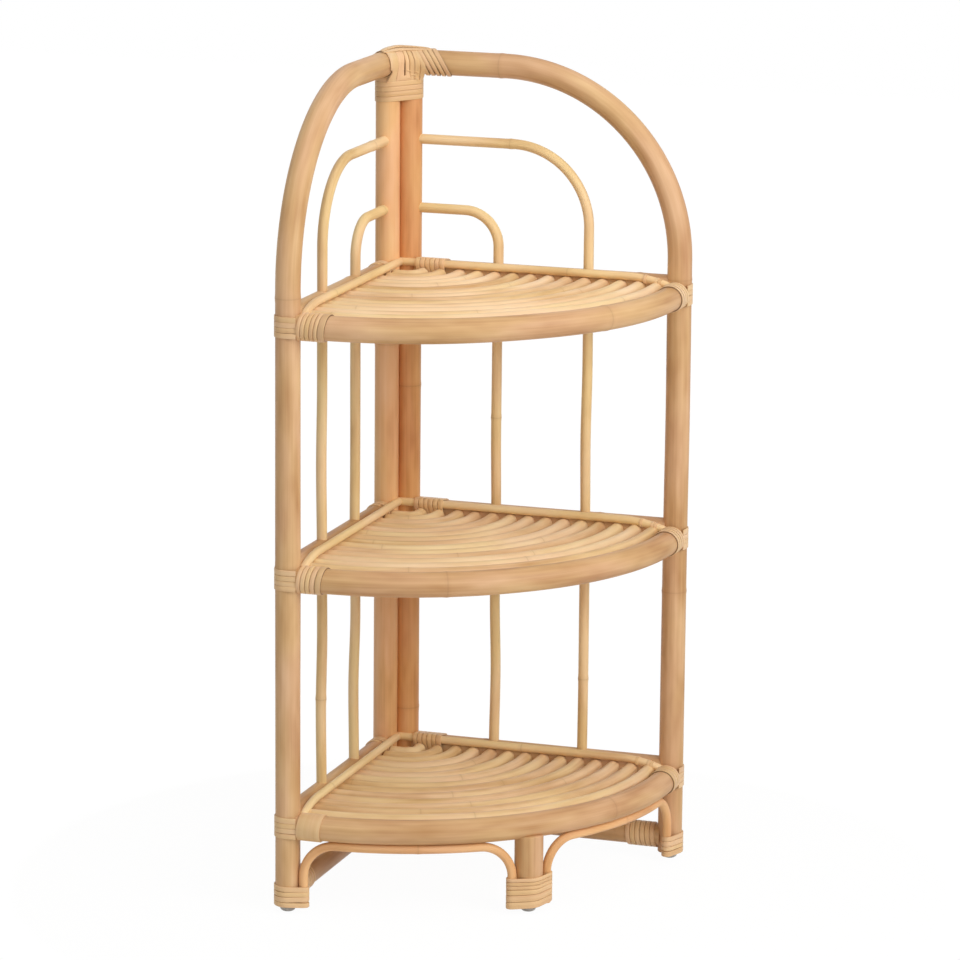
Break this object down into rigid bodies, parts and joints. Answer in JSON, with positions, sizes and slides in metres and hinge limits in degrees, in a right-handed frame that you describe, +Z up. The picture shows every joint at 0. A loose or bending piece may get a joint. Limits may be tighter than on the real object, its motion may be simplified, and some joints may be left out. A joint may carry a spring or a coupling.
{
  "type": "corner shelf",
  "caption": "Free-standing corner shelf of bent rattan poles: quarter-round slatted tiers between arched panels, joints bound in peel strip. Holds plants, books and ornaments.",
  "frame": {"origin": "on the ground, under the middle of the plan", "axes": "+Z up; the right-hand panel lies in the plane of +Y, the left-hand panel in the plane of -X, and the bowed front faces +X and -Y"},
  "size_m": [0.4018, 0.4018, 0.9971],
  "materials": {
    "rattan_pole": "clear satin lacquer",
    "rattan_rod": "clear satin lacquer",
    "rattan_slat": "clear satin lacquer",
    "rattan_peel": "glossy natural skin",
    "glide_plastic": "moulded",
    "screw_steel": "zinc plated"
  },
  "bodies": {
    "root": {"bottom_front_rail": "rattan_pole", "bottom_shelf_slats": "rattan_slat", "centre_foot": "rattan_pole", "centre_foot_binding": "rattan_peel", "crown_band": "rattan_peel", "crown_cap": "rattan_peel", "crown_wraps": "rattan_peel", "foot_glides": "glide_plastic", "joint_screws": "screw_steel", "left_apron_rod": "rattan_rod", "left_arch_post": "rattan_pole", "left_back_post": "rattan_pole", "left_base_rail": "rattan_pole", "left_bottom_rail_wrap": "rattan_peel", "left_bottom_side_rail": "rattan_pole", "left_bottom_trim_rod": "rattan_rod", "left_foot_binding": "rattan_peel", "left_inner_arched_spindle": "rattan_rod", "left_inner_lower_spindle": "rattan_rod", "left_inner_middle_spindle": "rattan_rod", "left_leg_bands": "rattan_peel", "left_middle_rail_wrap": "rattan_peel", "left_middle_side_rail": "rattan_pole", "left_middle_trim_rod": "rattan_rod", "left_outer_arched_spindle": "rattan_rod", "left_outer_lower_spindle": "rattan_rod", "left_outer_middle_spindle": "rattan_rod", "left_side_wraps": "rattan_peel", "left_top_rail_wrap": "rattan_peel", "left_top_side_rail": "rattan_pole", "left_top_trim_rod": "rattan_rod", "middle_front_rail": "rattan_pole", "middle_shelf_slats": "rattan_slat", "right_apron_rod": "rattan_rod", "right_arch_post": "rattan_pole", "right_back_post": "rattan_pole", "right_base_rail": "rattan_pole", "right_bottom_rail_wrap": "rattan_peel", "right_bottom_side_rail": "rattan_pole", "right_bottom_trim_rod": "rattan_rod", "right_foot_binding": "rattan_peel", "right_inner_arched_spindle": "rattan_rod", "right_inner_lower_spindle": "rattan_rod", "right_inner_middle_spindle": "rattan_rod", "right_leg_bands": "rattan_peel", "right_middle_rail_wrap": "rattan_peel", "right_middle_side_rail": "rattan_pole", "right_middle_trim_rod": "rattan_rod", "right_outer_arched_spindle": "rattan_rod", "right_outer_lower_spindle": "rattan_rod", "right_outer_middle_spindle": "rattan_rod", "right_side_wraps": "rattan_peel", "right_top_rail_wrap": "rattan_peel", "right_top_side_rail": "rattan_pole", "right_top_trim_rod": "rattan_rod", "top_front_rail": "rattan_pole", "top_shelf_slats": "rattan_slat"}
  },
  "joints": []
}
